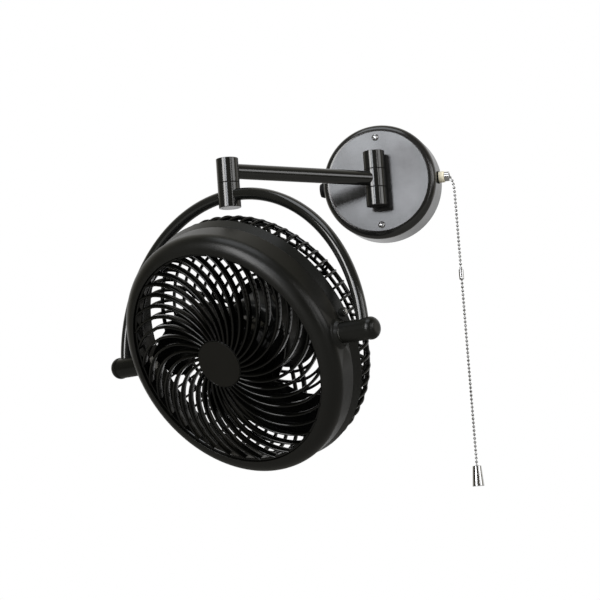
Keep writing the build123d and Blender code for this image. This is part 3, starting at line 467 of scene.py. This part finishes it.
# ------------------------------------------------------------------ canopy screws
SCREW_R, SCREW_SHANK_R, SCREW_T, SCREW_Y, SCREW_Z = 3.8, 2.0, 2.6, -40.0, 49.0
SCREW_TURNS = [(SCREW_Z, 28), (-SCREW_Z, 70)]
SCREW_OFF_WALL = 0.1
CROWN_POWER, CROWN_LEAST = 2.6, 0.05
RECESS_HALF, RECESS_REACH, RECESS_DEPTH = 0.62, 2.5, 1.9
RECESS_WALL, RECESS_RAMP = 0.18, 1.1
SCREW_RINGS, SCREW_SEGMENTS, SCREW_SHARP_EDGE = 30, 96, 40


def screw_head(turned, r, angle):
    """Height of a crowned cross-recessed head above the canopy's face."""
    height = SCREW_T * math.sqrt(max(0.0, 1 - (r / SCREW_R) ** CROWN_POWER))
    x, y = r * math.cos(angle - turned), r * math.sin(angle - turned)
    across, reach = min(abs(x), abs(y)), max(abs(x), abs(y))
    if across < RECESS_HALF and reach < RECESS_REACH:
        wall = min(1.0, (RECESS_HALF - across) / RECESS_WALL)
        height -= wall * RECESS_DEPTH * min(1.0, (RECESS_REACH - reach) / RECESS_RAMP)
    return max(CROWN_LEAST, height)


def make_screws():
    """The two canopy screws, each turned from the wall end of its shank to its recess."""
    verts, faces = [], []
    wall_end = SCREW_Y + SCREW_OFF_WALL
    shank = [(0.0, wall_end), (SCREW_SHANK_R, wall_end), (SCREW_SHANK_R, 0.0), (SCREW_R, 0.0)]
    radii = [SCREW_R * k / SCREW_RINGS for k in reversed(range(SCREW_RINGS + 1))]
    for z, turned in SCREW_TURNS:
        sections = []
        for a in angles(SCREW_SEGMENTS):
            line = shank + [(r, screw_head(math.radians(turned), r, a)) for r in radii]
            sections.append([(r * math.cos(a) * MM, (SCREW_Y - h) * MM,
                              (z + r * math.sin(a)) * MM) for r, h in line])
        loop_strip(sections, True, verts, faces)
    mesh = build_mesh("screw_heads", verts, faces)
    weld(mesh)
    shade(mesh, SCREW_SHARP_EDGE)
    obj = link_object("screw_heads", mesh)
    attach(obj, "root")
    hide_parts("canopy_screws")
    return obj


chain = make_chain()
guard = make_guard()
cage = make_cage()
screws = make_screws()


# ------------------------------------------------------------------ node helpers
def feed(tree, node, inputs):
    """Give each input, by name or number, a value or another node's output."""
    for key, source in inputs.items():
        if isinstance(source, bpy.types.NodeSocket):
            tree.links.new(source, node.inputs[key])
        else:
            node.inputs[key].default_value = source


def add_node(tree, kind, inputs):
    """A new node with its inputs fed."""
    node = tree.nodes.new(kind)
    feed(tree, node, inputs)
    return node


def noise(tree, place, scale, detail):
    """The value of a noise texture."""
    inputs = {"Vector": place, "Scale": scale, "Detail": detail}
    return add_node(tree, "ShaderNodeTexNoise", inputs).outputs["Fac"]


def map_range(tree, value, span, low, high, interpolation="LINEAR"):
    """The value, mapped from a span to low and high."""
    inputs = {"Value": value, "From Min": span[0], "From Max": span[1], "To Min": low,
              "To Max": high}
    node = add_node(tree, "ShaderNodeMapRange", inputs)
    node.interpolation_type = interpolation
    return node.outputs["Result"]


def colour_ramp(tree, value, span, low, high):
    """A colour that goes from low to high over a span of the value."""
    node = add_node(tree, "ShaderNodeValToRGB", {"Fac": value})
    for stop, position, colour in zip(node.color_ramp.elements, span, (low, high)):
        stop.position, stop.color = position, (*colour, 1)
    return node.outputs["Color"]


def maths(tree, operation, a, b, clamp=False):
    """The value of an operation on a and b."""
    node = add_node(tree, "ShaderNodeMath", {0: a, 1: b})
    node.operation, node.use_clamp = operation, clamp
    return node.outputs["Value"]


def mix(tree, data_type, factor, a, b):
    """a at factor 0, b at factor 1. The node's sockets share names, so they go by number."""
    a_input, b_input, result = {"FLOAT": (2, 3, 0), "RGBA": (6, 7, 2)}[data_type]
    node = tree.nodes.new("ShaderNodeMix")
    node.data_type = data_type
    feed(tree, node, {0: factor, a_input: a, b_input: b})
    return node.outputs[result]


# ------------------------------------------------------------------ materials
BLOTCH_SCALE, BLOTCH_DETAIL, BLOTCH_SPAN = 18.0, 5.0, (0.3, 0.7)
ROUGH_SPREAD, ROUGH_LEAST = 0.06, 0.02
GRAIN_DETAIL, GRAIN_HEIGHT = 3.0, 0.0003
EDGE_RADIUS, EDGE_SAMPLES = 0.0004, 4


def material(name, base, rough, metallic=0.0, specular=0.5, bump=0.02, tint=0.12, grain=900.0,
             soft_edges=True):
    """Paint, plastic or metal: slight variation in colour and gloss, fine grain, soft edges."""
    mat = bpy.data.materials.new(name)
    mat.use_nodes = True
    tree = mat.node_tree
    place = tree.nodes.new("ShaderNodeTexCoord").outputs["Object"]
    blotch = noise(tree, place, BLOTCH_SCALE, BLOTCH_DETAIL)
    fine = noise(tree, place, grain, GRAIN_DETAIL)
    dark = [c * (1 - tint) for c in base]
    light = [min(1.0, c * (1 + tint)) for c in base]
    relief = add_node(tree, "ShaderNodeBump",
                      {"Strength": bump, "Distance": GRAIN_HEIGHT, "Height": fine})
    if soft_edges:
        bevel = add_node(tree, "ShaderNodeBevel", {"Radius": EDGE_RADIUS})
        bevel.samples = EDGE_SAMPLES
        feed(tree, relief, {"Normal": bevel.outputs["Normal"]})
    feed(tree, tree.nodes["Principled BSDF"], {
        "Base Color": colour_ramp(tree, blotch, BLOTCH_SPAN, dark, light),
        "Metallic": metallic,
        "Roughness": map_range(tree, blotch, BLOTCH_SPAN, max(ROUGH_LEAST, rough - ROUGH_SPREAD),
                               rough + ROUGH_SPREAD),
        "Specular IOR Level": specular,
        "Normal": relief.outputs["Normal"],
    })
    return mat


# Name: base colour, roughness and what differs from the defaults of material().
PAINTS = {
    "canopy_black": ((0.012, 0.012, 0.0115), 0.2, dict(specular=1.0, bump=0.008)),
    "arm_black": ((0.0085, 0.009, 0.0085), 0.15, dict(specular=1.0, bump=0.006)),
    "sleeve_black": ((0.0035, 0.0038, 0.003), 0.26, dict()),
    "ring_black": ((0.0032, 0.0033, 0.0024), 0.34, dict()),
    "band_black": ((0.0085, 0.009, 0.0082), 0.34, dict(specular=0.35, bump=0.03)),
    "grille_black": ((0.002, 0.0021, 0.0018), 0.12, dict(specular=0.4)),
    "hub_black": ((0.0065, 0.006, 0.0042), 0.55, dict(specular=0.25, bump=0.1)),
    "cage_black": ((0.002, 0.0021, 0.0018), 0.16, dict(specular=0.4)),
    "blade_black": ((0.004, 0.0042, 0.004), 0.1, dict(specular=0.6)),
    "bright_metal": ((0.68, 0.68, 0.69), 0.12, dict(metallic=1.0, bump=0.01)),
    "collar_ivory": ((0.86, 0.8, 0.62), 0.3, dict(specular=0.4)),
    "black_rubber": ((0.008, 0.008, 0.008), 0.55, dict(specular=0.3, bump=0.1)),
    "zinc_steel": ((0.5, 0.5, 0.49), 0.34, dict(metallic=1.0, bump=0.06)),
    "switch_black": ((0.02, 0.02, 0.02), 0.5, dict(specular=0.3, bump=0.1)),
    "nylon_white": ((0.62, 0.61, 0.57), 0.45, dict(specular=0.4)),
    "motor_black": ((0.009, 0.0095, 0.009), 0.35, dict(specular=0.4, bump=0.05)),
    "core_steel": ((0.3, 0.3, 0.31), 0.45, dict(metallic=1.0, bump=0.2)),
    "copper_wire": ((0.5, 0.2, 0.07), 0.35, dict(metallic=0.8, bump=0.3)),
}
MATERIALS = {name: material(name, base, rough, **others)
             for name, (base, rough, others) in PAINTS.items()}
SLEEVES = ("barrel_right", "barrel_left", "dome_right", "dome_left")
OWN_PIECES = ((chain, "bright_metal"), (screws, "bright_metal"), (guard, "grille_black"),
              (cage, "cage_black"))


def dress():
    """Give each piece the paint of its slot. The sleeves and their caps get a satin one."""
    paint_of = {s["node"]: s["material_slot"] for s in frame["record"]["subparts"]}
    paint_of.update((name, "sleeve_black") for name in SLEEVES)
    for name, obj in nodes.items():
        mat = MATERIALS[paint_of[name]]
        if not obj.material_slots:
            obj.data.materials.append(mat)
        for holder in obj.material_slots:
            holder.material = mat
    for obj, name in OWN_PIECES:
        obj.data.materials.append(MATERIALS[name])


dress()

# ------------------------------------------------------------------ floor
FLOOR_HALF, FLOOR_Z = 3.0, -0.95
FLOOR_SEEN = (0.8, 0.8, 0.79)
FLOOR_UNSEEN = (0.2, 0.195, 0.18)


def stage_floor():
    """A floor that is pale to the camera and darker to every other ray, as in the gloss paint."""
    bm = bmesh.new()
    bmesh.ops.create_grid(bm, x_segments=1, y_segments=1, size=FLOOR_HALF)
    mesh = bpy.data.meshes.new("floor")
    bm.to_mesh(mesh)
    bm.free()
    obj = link_object("floor", mesh)
    obj.location = (0, 0, FLOOR_Z)
    pale = material("floor_pale", FLOOR_SEEN, rough=0.6, specular=0.2, tint=0.02, grain=60.0,
                    soft_edges=False)
    tree = pale.node_tree
    base = tree.nodes["Principled BSDF"].inputs["Base Color"]
    camera_ray = tree.nodes.new("ShaderNodeLightPath").outputs["Is Camera Ray"]
    seen = base.links[0].from_socket
    tree.links.new(mix(tree, "RGBA", camera_ray, (*FLOOR_UNSEEN, 1), seen), base)
    obj.data.materials.append(pale)


stage_floor()

# ------------------------------------------------------------------ lights
LIGHTS_AIM = Vector((-0.05, -0.1, -0.12))
# Name, azimuth and elevation in degrees, distance, width, height, radiance and colour.
LIGHTS = [
    ("window_left", -29, 12, 3.4, 1.1, 2.4, 6.5, (1, 1, 1)),
    ("window_front", -9.5, 16, 3.6, 0.75, 0.75, 6.0, (0.955, 0.985, 1.04)),
    ("strip_right", 47, 8, 3.4, 0.36, 2.4, 2.6, (1, 1, 1)),
    ("side_right", 74, 14, 3.0, 1.5, 1.1, 2.0, (1, 1, 1)),
    ("top", -15, 68, 2.8, 2.0, 1.6, 1.6, (0.93, 0.96, 1.0)),
]


def area_light(name, azimuth, elevation, distance, width, height, radiance, colour):
    """A rectangular softbox aimed at the object, from a direction seen from it."""
    a, e = math.radians(azimuth), math.radians(elevation)
    away = Vector((math.sin(a) * math.cos(e), -math.cos(a) * math.cos(e), math.sin(e)))
    data = bpy.data.lights.new(name, "AREA")
    data.shape, data.size, data.size_y = "RECTANGLE", width, height
    data.energy = radiance * math.pi * width * height
    data.color = colour
    obj = link_object(name, data)
    obj.location = LIGHTS_AIM + away * distance
    obj.rotation_euler = (-away).to_track_quat("-Z", "Y").to_euler()
    obj.visible_camera = False


for light in LIGHTS:
    area_light(*light)

# ------------------------------------------------------------------ world
FRONT_TO_BACK = (-0.1, 0.9)
MIRRORED_FRONT, MIRRORED_BACK = 0.06, 0.8
DIFFUSE_STRENGTH, DIFFUSE_WHITENESS = 0.65, 0.9
WARM_TONE, WHITE_TONE = (1.0, 0.92, 0.68), (1, 1, 1)


def studio_world():
    """White behind the fan; the dim, warm room in front of it shows in gloss only."""
    world = bpy.data.worlds.new("studio")
    scene.world = world
    world.use_nodes = True
    tree = world.node_tree
    ray = tree.nodes.new("ShaderNodeLightPath").outputs
    way = tree.nodes.new("ShaderNodeTexCoord").outputs["Generated"]
    split = add_node(tree, "ShaderNodeSeparateXYZ", {"Vector": way})
    behind = map_range(tree, split.outputs["Y"], FRONT_TO_BACK, 0.0, 1.0, "SMOOTHSTEP")
    glossy = maths(tree, "MAXIMUM", ray["Is Glossy Ray"], ray["Is Transmission Ray"])
    mirrored = map_range(tree, behind, (0.0, 1.0), MIRRORED_FRONT, MIRRORED_BACK)
    level = mix(tree, "FLOAT", glossy, DIFFUSE_STRENGTH, mirrored)
    whiteness = maths(tree, "MAXIMUM", maths(tree, "MAXIMUM", ray["Is Camera Ray"], behind),
                      maths(tree, "SUBTRACT", DIFFUSE_WHITENESS, glossy, clamp=True))
    feed(tree, tree.nodes["Background"], {
        "Color": colour_ramp(tree, whiteness, (0.0, 1.0), WARM_TONE, WHITE_TONE),
        "Strength": maths(tree, "MAXIMUM", ray["Is Camera Ray"], level),
    })


studio_world()
scene.view_settings.view_transform = "Standard"
